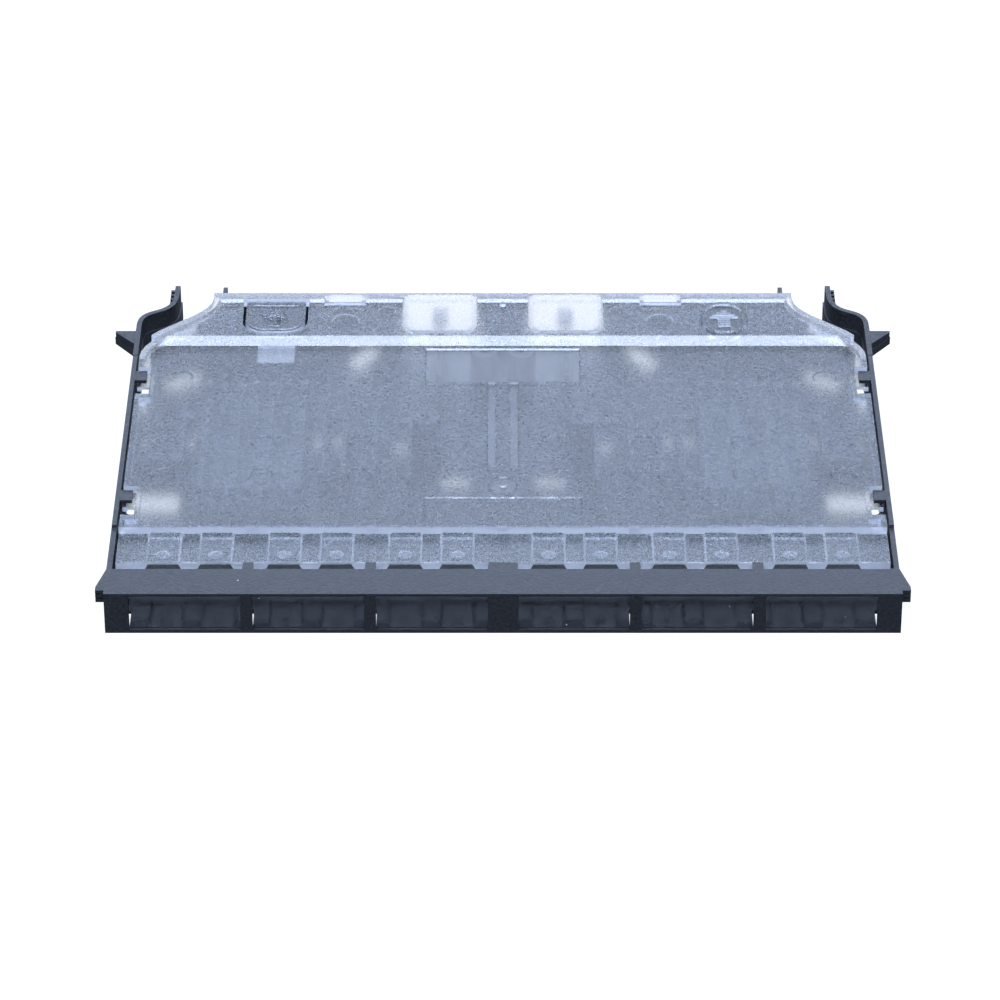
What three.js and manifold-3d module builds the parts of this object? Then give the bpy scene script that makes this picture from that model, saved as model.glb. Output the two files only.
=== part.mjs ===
// A fibre splice cassette: a shallow tray with six adapter windows in its fascia, a frosted cover that slides
// rearwards from under four hooks, two spring latch arms and two splice holders.
// Millimetres. X runs across, Y runs rearwards from the fascia, Z runs up from the underside of the floor.
import * as THREE from "three";
import { mergeVertices } from "three/addons/utils/BufferGeometryUtils.js";
import Module from "manifold-3d";

const wasm = await Module();
wasm.setup();

// ---- Driving dimensions ----
const HALF_WIDTH = 93.5; // from the middle to the outside of a side wall
const DEPTH = 142.8; // from the fascia's face to the tips of the latch arms
const BAR_TOP = 11; // top of the fascia and of its bar
const WALL_TOP = 11.8; // top of the side walls behind the fascia
const WALL = 1.3; // thickness of a side wall
const FLOOR = 1; // thickness of the floor
const GAP = 0.3; // left between pieces that touch
const STEP = 0.05; // keeps two faces of joined solids out of one plane

// Adapter windows and the bar over them
const WINDOW_WIDTH = 26.2;
const WINDOW_LOW = 0.9;
const WINDOW_HIGH = 10.3;
const WINDOW_CENTRES = [16.7, 45.7, 74.7];
const FASCIA_THICK = 1.6;
const BAR_REAR = 10.7;
const BAR_TAB_REAR = 13.65;
const RIBS = [3.2, 31.2, 60.2, 89.3]; // the upright ribs behind the fascia that carry the bar
const CLIP_SLOT = 1; // width of the floor slots for an adapter's clips

// Rear end
const REAR_WALL = 134.6; // rear face of the rear wall
const TRAY_INSET = 1.5; // how far the tray's rear corners sit inside the cover's
const COVER_REAR = 133.3;
const ARM_ROOT = 108; // where the latch arms leave the side walls
const ENTRY = [6.8, 25.3]; // one cable entry, from the middle outwards
const ENTRY_MIDDLE = (ENTRY[0] + ENTRY[1]) / 2;
const PAD = [35.1, 45.6]; // one thin pad of the cover's rim, with a gap in the rear wall under it
const PAD_GAP_LOW = 11;

// Cover
const SKIN = 1.5; // its wall thickness
const STRIP_FRONT = 13.95; // front edge of the low strip behind the bar
const PANEL_FRONT = 27;
const PANEL_TOP = 12.6;
const PLATEAU_FRONT = 113.1;
const PLATEAU_TOP = 14.4;
const PLATEAU_SLOPE = 2.1; // how far the slope in front of the plateau runs
const HUMP_TOP = 15.2;
const RIM = 1.5; // width of the raised rim along the S-curves
const RIM_FRONT = 130.4; // front edge of the rim along the rear
const RIM_RISE = HUMP_TOP - STEP - PLATEAU_TOP;
const COVER_HALF = HALF_WIDTH - WALL - 2 * GAP; // half width between the side walls
const BUMP = [1.8, 10.6]; // foot of one raised bump of the strip, from the middle of its pair outwards
const BUMP_CENTRES = [17, 45.6, 74.2];
const BUMP_LEAN = 0.8; // how far a bump's sides lean in
const BUMP_RISE = 0.35;
const HOLLOW = [2.6, 9.8]; // roof of the hollow under a bump

// Hooks on the side walls: how far in they reach, and the front edge of each
const HOOK_INNER = 89.3;
const HOOK_LOW = 10.8;
const HOOK_LENGTH = 4.4;
const HOOK_FRONTS = [39.7, 95.6];
const SHELF = 1.2; // how far the cover's shelf under a hook reaches in front of it
const SLIDE = HOOK_LENGTH + SHELF + 0.1; // how far the cover slides rearwards until the hooks are free

// Comb on the side walls, where cable ties hold
const TEETH = [62, 67, 72, 77];
const WALL_REAR = ARM_ROOT - GAP;
const WALL_STEP = 28.6; // where the side walls rise to their full height

// Latch tab in the cover, on the left only
const TAB = { left: -65.5, right: -50.4, front: 115.4, root: 130, slot: 0.8 };

// Splice holders
const HOLDER_MIDDLE = 61.65;
const HOLDER_FRONT = 48;
const HOLDER_REAR = 98;
const FIN_PITCH = 3.97;
const FIN_COUNT = 7;
const PEGS = [56, 90]; // a holder's two pegs, from the fascia
const PEG_RADIUS = 1.4;

// Round posts inside the tray, each as [x, y] on both sides
const POSTS = [
  [4.7, 113],
  [19.1, 80.6],
];

const SIDES = [-1, 1];

// ---- Solids ----
function solid(geometry) {
  const bare = geometry.clone();
  bare.deleteAttribute("normal");
  bare.deleteAttribute("uv");
  const merged = mergeVertices(bare, 1e-4);
  return new wasm.Manifold(
    new wasm.Mesh({
      numProp: 3,
      vertProperties: new Float32Array(merged.attributes.position.array),
      triVerts: new Uint32Array(merged.index.array),
    }),
  );
}

function box(x0, x1, y0, y1, z0, z1) {
  const g = new THREE.BoxGeometry(Math.abs(x1 - x0), y1 - y0, z1 - z0);
  return solid(g.translate((x0 + x1) / 2, (y0 + y1) / 2, (z0 + z1) / 2));
}

// A bar along Y whose sides lean: bottom and top are its [x0, x1] at those two heights.
function leaningBar(bottom, top, y0, y1, z0, z1) {
  const level = ([x0, x1], z) => [y0, y1].flatMap((y) => [[x0, y, z], [x1, y, z]]);
  return wasm.Manifold.hull([...level(bottom, z0), ...level(top, z1)]);
}

// A box given from the middle outwards, on one side of the object.
function sideBox(side, inner, outer, y0, y1, z0, z1) {
  return box(side * inner, side * outer, y0, y1, z0, z1);
}

function prism(shape, z0, z1, curveSegments = 8) {
  const g = new THREE.ExtrudeGeometry(shape, { depth: z1 - z0, bevelEnabled: false, curveSegments });
  return solid(g.translate(0, 0, z0));
}

function polygon(points) {
  return new THREE.Shape(points.map(([x, y]) => new THREE.Vector2(x, y)));
}

// An outline of [y, z] points carried across the whole width, from -half to half.
function across(outline, half) {
  const g = new THREE.ExtrudeGeometry(polygon(outline), { depth: 2 * half, bevelEnabled: false });
  return solid(g.rotateX(Math.PI / 2).rotateZ(Math.PI / 2).translate(-half, 0, 0));
}

function cylinder(x, y, radius, z0, z1, sides = 20) {
  const g = new THREE.CylinderGeometry(radius, radius, z1 - z0, sides).rotateX(Math.PI / 2);
  return solid(g.translate(x, y, (z0 + z1) / 2));
}

function union(pieces) {
  return pieces.reduce((whole, piece) => whole.add(piece));
}

function cut(whole, holes) {
  return holes.reduce((left, hole) => left.subtract(hole), whole);
}

// A rectangle with all corners rounded.
function roundedRect(x0, x1, y0, y1, r) {
  const shape = new THREE.Shape();
  shape.absarc(x1 - r, y0 + r, r, -Math.PI / 2, 0);
  shape.absarc(x1 - r, y1 - r, r, 0, Math.PI / 2);
  shape.absarc(x0 + r, y1 - r, r, Math.PI / 2, Math.PI);
  shape.absarc(x0 + r, y0 + r, r, Math.PI, 1.5 * Math.PI);
  return shape;
}

// A wall of even thickness along a path of points, from z0 to z1; left and right are its half widths.
function ribbon(points, left, right, z0, z1) {
  const edge = (distance) =>
    points.map((p, i) => {
      const before = points[Math.max(i - 1, 0)];
      const after = points[Math.min(i + 1, points.length - 1)];
      const along = new THREE.Vector2().subVectors(after, before).normalize();
      return new THREE.Vector2(p.x - along.y * distance, p.y + along.x * distance);
    });
  return prism(new THREE.Shape([...edge(-right), ...edge(left).reverse()]), z0, z1);
}

// The S-curve of a rear corner, from the narrow rear end out to the side, moved in by inset.
function cornerCurve(side, inset) {
  return new THREE.CubicBezierCurve(
    new THREE.Vector2(side * (74 - inset), 131),
    new THREE.Vector2(side * (74 - inset), 120 - 0.7 * inset),
    new THREE.Vector2(side * (COVER_HALF - inset), 117 - 0.9 * inset),
    new THREE.Vector2(side * (COVER_HALF - inset), 104),
  );
}

// The outline between two Y values that narrows through both S-curves.
function narrowing(front, rear, inset) {
  const right = cornerCurve(1, inset).getPoints(12).reverse();
  const left = cornerCurve(-1, inset).getPoints(12);
  const half = COVER_HALF - inset;
  return new THREE.Shape([
    new THREE.Vector2(-half, front),
    new THREE.Vector2(half, front),
    ...right,
    new THREE.Vector2(74 - inset, rear),
    new THREE.Vector2(inset - 74, rear),
    ...left,
  ]);
}

// ---- Tray ----
// Fascia, bar and the ribs between windows that carry the bar.
function fascia() {
  const section = [
    [0, 0],
    [FASCIA_THICK, 0],
    [FASCIA_THICK, WINDOW_HIGH],
    [BAR_REAR, WINDOW_HIGH],
    [BAR_REAR, BAR_TOP],
    [0, BAR_TOP],
  ];
  const plate = across(section, HALF_WIDTH);
  const windows = SIDES.flatMap((side) =>
    WINDOW_CENTRES.map((c) =>
      sideBox(side, c - WINDOW_WIDTH / 2, c + WINDOW_WIDTH / 2, -1, FASCIA_THICK + 1, WINDOW_LOW, WINDOW_HIGH - STEP),
    ),
  );
  const ribHalf = 0.4;
  const ribs = SIDES.flatMap((side) =>
    RIBS.map((x) => sideBox(side, x - ribHalf, x + ribHalf, 1, BAR_REAR - 0.5, FLOOR / 2, WINDOW_HIGH + 0.1)),
  );
  const tabs = SIDES.flatMap((side) =>
    RIBS.slice(1, 3).map((x) => sideBox(side, x - 1.25, x + 1.25, BAR_REAR - 1, BAR_TAB_REAR, WINDOW_HIGH + STEP, BAR_TOP - STEP)),
  );
  const middleTab = box(-3.5, 3.5, BAR_REAR - 1, BAR_TAB_REAR, WINDOW_HIGH + STEP, BAR_TOP - STEP);
  return union([cut(plate, windows), ...ribs, ...tabs, middleTab]);
}

// The narrow floor slots at both ends of every window, where an adapter's clips reach through.
function clipSlots() {
  const [front, rear] = [FASCIA_THICK + 0.1, 8];
  return SIDES.flatMap((side) =>
    WINDOW_CENTRES.flatMap((c) => {
      const [inner, outer] = [c - WINDOW_WIDTH / 2, c + WINDOW_WIDTH / 2];
      return [
        sideBox(side, inner - CLIP_SLOT, inner, front, rear, -1, FLOOR + 1),
        sideBox(side, outer, outer + CLIP_SLOT, front, rear, -1, FLOOR + 1),
      ];
    }),
  );
}

function floor() {
  const half = HALF_WIDTH - 2 * STEP;
  const front = box(-half, half, 1, ARM_ROOT - 10, STEP, FLOOR);
  const rear = prism(narrowing(90, REAR_WALL + STEP, TRAY_INSET - STEP), 0, FLOOR - STEP);
  return front.add(rear);
}

// Side wall with its ledge for the cover's skirt, its hooks, its comb and the lug at the front.
function sideWall(side) {
  const inner = HALF_WIDTH - WALL;
  const wall = sideBox(side, inner, HALF_WIDTH - STEP, 1, WALL_REAR, FLOOR / 2, BAR_TOP - STEP);
  const raised = sideBox(side, inner + STEP, HALF_WIDTH - 2 * STEP, WALL_STEP, WALL_REAR - STEP, 9, WALL_TOP);
  const ledge = sideBox(side, inner - 1.3, inner + 0.5, WALL_STEP, ARM_ROOT - 3, 7.6, 8.8);
  const hooks = HOOK_FRONTS.map((y) => sideBox(side, HOOK_INNER, inner + 0.5, y, y + HOOK_LENGTH, HOOK_LOW, WALL_TOP - STEP));
  const teeth = TEETH.map((y) => sideBox(side, inner - 2.8, inner + 0.5, y, y + 1.2, FLOOR / 2, 7));
  const lugOutline = polygon([
    [side * (HALF_WIDTH - 0.5), 1.65],
    [side * 95.55, 1.65],
    [side * 95.55, 3.2],
    [side * (HALF_WIDTH - 0.5), 12.6],
  ]);
  const grooves = [8.5, 9.7].map((z) => sideBox(side, 93.9, 97, 1, 2, z, z + 0.35));
  return union([wall, raised, ledge, ...hooks, ...teeth, cut(prism(lugOutline, 7.6, BAR_TOP - 2 * STEP), grooves)]);
}

// Rear wall, open at the two cable entries and at one small gap further out, with its S-curved corners.
function rearWall() {
  const top = 12.4;
  const thick = 1.2;
  const ring = prism(narrowing(90, REAR_WALL, TRAY_INSET), FLOOR / 2, top);
  const inside = prism(narrowing(80, REAR_WALL - thick, TRAY_INSET + thick), -1, top + 1);
  const front = box(-100, 100, 80, ARM_ROOT + 0.3, -1, top + 1);
  const entries = SIDES.map((side) => sideBox(side, ENTRY[0], ENTRY[1], 130, 140, FLOOR - 2 * STEP, top + 1));
  const gaps = SIDES.map((side) => sideBox(side, PAD[0], PAD[1], 130, 140, PAD_GAP_LOW, top + 1));
  const lowered = box(-100, 100, 80, PLATEAU_FRONT + SLIDE + 1.5, 10.6, top + 1);
  const fingers = SIDES.map((side) => sideBox(side, 71.1, 72.2, REAR_WALL - 2, 142, 2 * STEP, WALL_TOP));
  return union([cut(ring, [inside, front, lowered, ...entries, ...gaps]), ...fingers]);
}

// The guide walls that keep the fibre loops, each as [x0, x1, y0, y1] from the middle outwards.
const GUIDES = [
  [22.4, 23.4, 53, 88],
  [30.9, 31.9, 55, 85],
  [38.5, 39.5, 54, 85],
  [43.5, 44.5, 54, 85],
  [78.4, 79.4, 60.2, 90],
];

// Finger over the fibres: [x0, x1, y] of the finger and of the floor hole under it.
const FINGERS = [
  [23.2, 27, 77.6],
  [39.3, 42.3, 80],
  [44.3, 47.3, 80],
  [76.4, 79, 80],
];

function guides(side) {
  const top = 9.4;
  const walls = GUIDES.map(([x0, x1, y0, y1]) => sideBox(side, x0, x1, y0, y1, FLOOR / 2, top));
  const crossWall = sideBox(side, 79, 89.4, 60.4, 61.4, FLOOR / 2, top - STEP);
  const fingers = FINGERS.map(([x0, x1, y]) => sideBox(side, x0, x1, y, y + 3.2, top - 1, top - STEP));
  const posts = POSTS.map(([x, y]) => cylinder(side * x, y, 3.5, FLOOR / 2, top + 0.1));
  const rib = sideBox(side, ENTRY_MIDDLE - 0.7, ENTRY_MIDDLE + 0.7, 103, 134, FLOOR / 2, 8.4);
  const head = sideBox(side, ENTRY_MIDDLE - 2, ENTRY_MIDDLE + 2, 127, 134, 8.3, 9.4);
  return union([...walls, crossWall, ...fingers, ...posts, rib, head]);
}

// A slanted slot with round ends through the floor, between two points.
function floorSlot(side, [x0, y0], [x1, y1], width) {
  const length = Math.hypot(x1 - x0, y1 - y0);
  const r = width / 2;
  const slot = new THREE.Shape();
  slot.absarc(length, 0, r, -Math.PI / 2, Math.PI / 2);
  slot.absarc(0, 0, r, Math.PI / 2, 1.5 * Math.PI);
  const g = new THREE.ExtrudeGeometry(slot, { depth: FLOOR + 2, bevelEnabled: false, curveSegments: 6 });
  g.rotateZ(Math.atan2(y1 - y0, side * (x1 - x0)));
  return solid(g.translate(side * x0, y0, -1));
}

function floorHoles(side) {
  const fingerHoles = FINGERS.map(([x0, x1, y]) => sideBox(side, x0 + 0.3, x1 + 0.2, y, y + 3.2, -1, FLOOR + 0.2));
  const posts = POSTS.map(([x, y]) => cylinder(side * x, y, 1.35, -1, 10, 12));
  const ties = [109, 117].map((y) => sideBox(side, ENTRY_MIDDLE - 1, ENTRY_MIDDLE + 1, y, y + 4, 3, 6));
  const pegs = PEGS.map((y) => cylinder(side * HOLDER_MIDDLE, y, PEG_RADIUS + 0.4, -1, 2, 12));
  return [
    ...fingerHoles,
    ...posts,
    ...ties,
    ...pegs,
    sideBox(side, 88.6, 91.8, 80, 83.2, -1, FLOOR + 0.2),
    prism(roundedRect(Math.min(side * 79, side * 91.9), Math.max(side * 79, side * 91.9), 50, 58.2, 1.2), -1, 2, 3),
    floorSlot(side, [78.6, 113.4], [84.2, 110], 5),
    floorSlot(side, [37.6, 120.2], [33.6, 126.4], 5),
    sideBox(side, 8, 15.2, 61.5, 65.5, -1, FLOOR + 0.2),
  ];
}

function tray() {
  const whole = union([fascia(), floor(), sideWall(-1), sideWall(1), rearWall(), guides(-1), guides(1)]);
  return cut(whole, [...clipSlots(), ...floorHoles(-1), ...floorHoles(1)]);
}

// ---- Latch arms ----
function armPath(side) {
  const at = (x, y) => new THREE.Vector2(side * x, y);
  const path = new THREE.CurvePath();
  path.add(new THREE.LineCurve(at(92.85, ARM_ROOT), at(92.85, 123)));
  path.add(new THREE.CubicBezierCurve(at(92.85, 123), at(92.85, 127), at(91.4, 128.4), at(88.8, 129.7)));
  path.add(new THREE.CubicBezierCurve(at(88.8, 129.7), at(85.6, 131.2), at(84.3, 133.6), at(84.1, 137.5)));
  path.add(new THREE.LineCurve(at(84.1, 137.5), at(84, DEPTH)));
  const points = path.curves.flatMap((curve, i) => curve.getPoints(curve.isLineCurve ? 1 : 6).slice(i ? 1 : 0));
  return side > 0 ? points : points.reverse();
}

function latchArm(side) {
  const points = armPath(side);
  const step = 7;
  const blade = ribbon(points, 0.65, 0.65, step - 0.5, WALL_TOP);
  const foot = ribbon(points, 1, 0.65 + STEP, 0, step);
  const barbOutline = (front) =>
    polygon([
      [side * 93.2, front],
      [side * 98.9, 121.2 - 0.4],
      [side * 98.9, 121.2],
      [side * 93.2, 121.2],
    ]);
  const barb = prism(barbOutline(113.5), 7.4, 9.3).add(cut(prism(barbOutline(114.3), 9, 11), [sideBox(side, 98.7, 100, 110, 121.3, 9.3, 12)]));
  const ridges = [134.6, 136.6, 138.6, 140.6].map((y) => sideBox(side, 84.4, 85.7, y, y + 0.9, 1, WALL_TOP - 0.5));
  return union([blade, foot, barb, ...ridges]);
}

// ---- Cover ----
// The panel in side view, from the riser behind the strip to the rear edge.
function panel() {
  const inside = (PLATEAU_TOP - PANEL_TOP) / 2;
  const outline = [
    [PANEL_FRONT, PANEL_TOP],
    [PLATEAU_FRONT - PLATEAU_SLOPE, PANEL_TOP],
    [PLATEAU_FRONT, PLATEAU_TOP],
    [COVER_REAR + 1, PLATEAU_TOP],
    [COVER_REAR + 1, PLATEAU_TOP - SKIN],
    [PLATEAU_FRONT + inside, PLATEAU_TOP - SKIN],
    [PLATEAU_FRONT - PLATEAU_SLOPE + inside, PANEL_TOP - SKIN],
    [PANEL_FRONT, PANEL_TOP - SKIN],
  ];
  return across(outline, COVER_HALF + 1);
}

// The raised rim that stiffens the S-curves and the rear edge. It stands lower in front of the plateau.
function rim() {
  const ring = (front, rear, low, high) =>
    cut(prism(narrowing(90, COVER_REAR + 1, -1), low, high), [
      prism(narrowing(80, rear, RIM), low - 1, high + 1),
      box(-100, 100, 70, front, low - 1, high + 1),
    ]);
  const onPlateau = ring(PLATEAU_FRONT - PLATEAU_SLOPE / 2, RIM_FRONT, PLATEAU_TOP - 1, PLATEAU_TOP + RIM_RISE);
  const onPanel = ring(104.5, COVER_REAR + 2, PANEL_TOP - 1, PANEL_TOP + RIM_RISE);
  return [onPlateau, onPanel];
}

// The low strip behind the bar: raised bumps, and sunk pockets with a lip that hangs over the adapters.
function strip() {
  const sunkTop = BAR_TOP - BUMP_RISE;
  const low = sunkTop - 1.2;
  const half = COVER_HALF + 1;
  const rear = PANEL_FRONT + 1;
  const sunk = box(-half, half, STRIP_FRONT + STEP, rear, low, sunkTop);
  const lip = box(-half, half, STRIP_FRONT + 2 * STEP, STRIP_FRONT + 1.2, low - 0.9, low + 0.5);
  const places = SIDES.flatMap((side) => BUMP_CENTRES.flatMap((c) => SIDES.map((turn) => [side * c, turn])));
  const span = (middle, turn, [inner, outer], lean) => [middle + turn * (inner + lean), middle + turn * (outer - lean)];
  const bumps = places.map(([middle, turn]) =>
    leaningBar(span(middle, turn, BUMP, 0), span(middle, turn, BUMP, BUMP_LEAN), STRIP_FRONT, rear - STEP, sunkTop - 0.2, BAR_TOP),
  );
  const hollows = places.map(([middle, turn]) =>
    leaningBar(span(middle, turn, HOLLOW, -0.9), span(middle, turn, HOLLOW, 0), STRIP_FRONT - 1, 25, low - 1.2, BAR_TOP - 0.9),
  );
  const riser = box(-half, half, PANEL_FRONT - 0.6, rear + 0.2, low - STEP, PANEL_TOP - STEP);
  return union([cut(union([sunk, lip, ...bumps]), hollows), riser]);
}

// One hook's pocket in the cover: what is cut away, and the flange and walls put back.
function hookPocket(side, hookFront) {
  const flangeTop = HOOK_LOW - GAP;
  const flangeLow = flangeTop - 0.8;
  const front = hookFront - SLIDE - 2.1;
  const flangeFront = hookFront - SHELF;
  const rear = hookFront + HOOK_LENGTH + 0.6;
  const inner = HOOK_INNER - 1;
  return {
    cuts: [
      sideBox(side, inner, 100, front, rear, flangeTop, 20),
      sideBox(side, inner, 100, front, flangeFront, 5, 20),
    ],
    adds: [
      sideBox(side, inner - 0.9, 95, flangeFront, rear + 0.9, flangeLow, flangeTop),
      sideBox(side, inner - 1, inner, front - 1, rear + 1, flangeLow - STEP, PANEL_TOP - STEP),
      sideBox(side, inner - 0.5, 95, rear, rear + 0.95, flangeLow - 2 * STEP, PANEL_TOP - 2 * STEP),
      sideBox(side, inner - 0.5, 95, front - 0.95, front, flangeLow - 2 * STEP, PANEL_TOP - 2 * STEP),
    ],
  };
}

function humps() {
  const [near, far] = [6.5, 25.6];
  const make = (side, inset, z0, z1, rear) => {
    const [x0, x1] = side > 0 ? [near + inset, far - inset] : [-far + inset, -near - inset];
    const r = 3 - inset / 2;
    const shape = new THREE.Shape();
    shape.absarc(x1 - r, 114.1 + inset + r, r, -Math.PI / 2, 0);
    shape.lineTo(x1, rear);
    shape.lineTo(x0, rear);
    shape.absarc(x0 + r, 114.1 + inset + r, r, Math.PI, 1.5 * Math.PI);
    return prism(shape, z0, z1, 5);
  };
  return {
    adds: SIDES.map((side) => make(side, 0, PLATEAU_TOP - SKIN + STEP, HUMP_TOP, COVER_REAR + 1)),
    hollows: SIDES.map((side) => make(side, 1.2, 5, HUMP_TOP - 1.2, COVER_REAR + 2)),
  };
}

// The latch tab in plan: straight sides, round front corners.
function tabShape(grow, root) {
  const r = 5 + grow;
  const shape = new THREE.Shape();
  shape.absarc(TAB.right - 5, TAB.front + 5, r, -Math.PI / 2, 0);
  shape.lineTo(TAB.right + grow, root);
  shape.lineTo(TAB.left - grow, root);
  shape.absarc(TAB.left + 5, TAB.front + 5, r, Math.PI, 1.5 * Math.PI);
  return shape;
}

function cover() {
  const skirts = SIDES.map((side) => sideBox(side, COVER_HALF - 1.2, 95, PANEL_FRONT, 102.5, 9.2, PANEL_TOP - 1));
  const pockets = SIDES.flatMap((side) => HOOK_FRONTS.map((y) => hookPocket(side, y)));
  const hump = humps();
  const grooves = SIDES.map((side) => sideBox(side, 1.85, 3.65, 53.8, 92.8, PANEL_TOP - 0.4, 20));
  const panes = [
    box(-19.2, 19.2, 93.8, 109.4, PANEL_TOP - 0.4, 20),
    box(-18.7, 18.7, 29.3, 39.5, PANEL_TOP - 0.3, 20),
    box(-61.9, -52.5, 102.8, PLATEAU_FRONT - PLATEAU_SLOPE - 0.1, PANEL_TOP - 0.6, 20),
  ];
  const gate = cylinder(0, 45.4, 3.2, PANEL_TOP - 0.4, 20);
  const pads = SIDES.map((side) => sideBox(side, PAD[0], PAD[1], 128.3, COVER_REAR + 1, PLATEAU_TOP - 0.5, HUMP_TOP - 2 * STEP));
  const padHollows = SIDES.map((side) => sideBox(side, PAD[0] + 1, PAD[1] - 1, 129.3, COVER_REAR + 2, 5, PLATEAU_TOP - 0.6));
  const whole = union([panel(), strip(), ...skirts, ...hump.adds, ...rim(), ...pads]);
  const opened = cut(whole, [
    ...pockets.flatMap((p) => p.cuts),
    ...hump.hollows,
    ...padHollows,
    ...grooves,
    ...panes,
    gate,
    prism(tabShape(TAB.slot, TAB.root + GAP), 5, 20, 6),
  ]);
  const outline = prism(narrowing(STRIP_FRONT - 1, COVER_REAR, 0), 0, 20);
  return union([opened, ...pockets.flatMap((p) => p.adds)]).intersect(outline);
}

function latchTab() {
  const plate = prism(tabShape(0, TAB.root), PLATEAU_TOP - SKIN, PLATEAU_TOP, 6);
  const rim = cut(prism(tabShape(-0.6, TAB.root - 1), PLATEAU_TOP - 0.5, PLATEAU_TOP + 0.35, 6), [
    prism(tabShape(-1.8, TAB.root - 2.2), 5, 20, 6),
  ]);
  return plate.add(rim);
}

// ---- Splice holders ----
function spliceHolder(side) {
  const half = (FIN_PITCH * (FIN_COUNT - 1)) / 2 + 0.6;
  const low = FLOOR + GAP;
  const finTop = 7.4;
  const fingerTop = 9.4;
  const base = sideBox(side, HOLDER_MIDDLE - half, HOLDER_MIDDLE + half, HOLDER_FRONT, HOLDER_REAR, low, low + 1);
  const fins = Array.from({ length: FIN_COUNT }, (_, i) => {
    const x = HOLDER_MIDDLE + (i - (FIN_COUNT - 1) / 2) * FIN_PITCH;
    const ends = [
      [HOLDER_FRONT, HOLDER_FRONT + 13],
      [HOLDER_REAR - 13, HOLDER_REAR],
    ].map(([y0, y1]) => sideBox(side, x - 0.5, x + 0.5, y0 + 2 * STEP, y1 - 2 * STEP, low + STEP, finTop));
    const fingers = [HOLDER_FRONT, HOLDER_REAR - 2.6].map((y) =>
      sideBox(side, x - 0.8, x + 0.8, y + STEP, y + 2.6, finTop - 1, fingerTop),
    );
    const middle = i % 2 ? [] : [sideBox(side, x - 0.5, x + 0.5, 60, 87, low + STEP, finTop)];
    return union([...ends, ...fingers, ...middle]);
  });
  const pegs = PEGS.map((y) => cylinder(side * HOLDER_MIDDLE, y, PEG_RADIUS, 0.2, low + 0.5, 12));
  return union([base, ...fins, ...pegs]);
}

// ---- The assembly ----
const black = { color: 0x24272d, roughness: 0.55, metalness: 0 };
const grey = { color: 0x34373d, roughness: 0.5, metalness: 0 };
const frosted = { color: 0xc4cfe2, roughness: 0.45, metalness: 0, transparent: true, opacity: 0.55 };

function mesh(name, body, look) {
  const made = body.getMesh();
  const geometry = new THREE.BufferGeometry();
  geometry.setAttribute("position", new THREE.BufferAttribute(new Float32Array(made.vertProperties), 3));
  geometry.setIndex(new THREE.BufferAttribute(new Uint32Array(made.triVerts), 1));
  geometry.computeVertexNormals();
  const item = new THREE.Mesh(geometry, new THREE.MeshStandardMaterial(look));
  item.name = name;
  return item;
}

const cassette = new THREE.Group();
cassette.name = "splice_cassette";
cassette.add(
  mesh("tray", tray(), black),
  mesh("latch_arm_left", latchArm(-1), black),
  mesh("latch_arm_right", latchArm(1), black),
  mesh("splice_holder_left", spliceHolder(-1), grey),
  mesh("splice_holder_right", spliceHolder(1), grey),
  mesh("cover", cover(), frosted),
  mesh("cover_latch_tab", latchTab(), frosted),
);
// The origin is under the middle of the whole box.
cassette.position.y = -DEPTH / 2;

export default cassette;
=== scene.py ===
# %% [markdown]
# # A fibre splice cassette
# This lesson dresses a finished CAD model. A splice cassette is a shallow black tray with six adapter windows
# in its fascia, a frosted see-through cover held under four hooks, two spring arms and two comb-like splice
# holders. The CAD model fixes every size, so this script only adds what a mould adds: rounded edges, marks,
# and the surface of each plastic.

# %% Load the frame
import math

import bmesh
import bpy
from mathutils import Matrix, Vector


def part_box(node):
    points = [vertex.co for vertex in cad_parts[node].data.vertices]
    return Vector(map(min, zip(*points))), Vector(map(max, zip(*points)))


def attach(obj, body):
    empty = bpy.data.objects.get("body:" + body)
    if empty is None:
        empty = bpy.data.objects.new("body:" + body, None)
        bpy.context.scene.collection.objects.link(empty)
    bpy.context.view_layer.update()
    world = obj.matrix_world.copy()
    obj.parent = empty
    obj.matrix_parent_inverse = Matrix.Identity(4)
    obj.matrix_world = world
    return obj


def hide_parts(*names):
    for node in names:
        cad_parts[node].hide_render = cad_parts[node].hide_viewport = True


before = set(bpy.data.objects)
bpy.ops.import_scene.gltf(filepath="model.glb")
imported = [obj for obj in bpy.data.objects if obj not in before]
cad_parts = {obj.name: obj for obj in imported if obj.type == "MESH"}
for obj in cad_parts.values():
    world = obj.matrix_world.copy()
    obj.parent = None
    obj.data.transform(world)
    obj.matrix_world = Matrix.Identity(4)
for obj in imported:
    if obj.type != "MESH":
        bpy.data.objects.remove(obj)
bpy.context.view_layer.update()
MM = 0.001
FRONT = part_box("tray")[0][1]  # the fascia's face: distances to the rear are measured from it

# %% [markdown]
# ## Camera
# The view comes from in front and above, with a long lens, so that the fascia's edges stay almost parallel.
# The camera aims along a line that drops 32.5 degrees.

# %% Camera
CAMERA_DROP = math.radians(32.5)
CAMERA_PLACE = Vector((-0.7, -1001.5, 629.6)) * MM
LENS = 172.0
camera = bpy.data.objects.new("camera", bpy.data.cameras.new("camera"))
bpy.context.scene.collection.objects.link(camera)
bpy.context.scene.camera = camera
camera.data.lens = LENS
camera.data.clip_end = 20
camera.location = CAMERA_PLACE
camera.rotation_euler = (math.pi / 2 - CAMERA_DROP, 0, 0)
print("camera:", round(camera.location.length / MM), "mm from the middle")

# %% [markdown]
# ## Studio
# Dark plastic is lit by large soft boxes, because a matt black surface shows little but the light that it
# reflects. A few small lamps would only leave bright dots on it. So one box hangs behind the object, where
# the flat tops reflect it towards the camera, and one hangs above.

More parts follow.
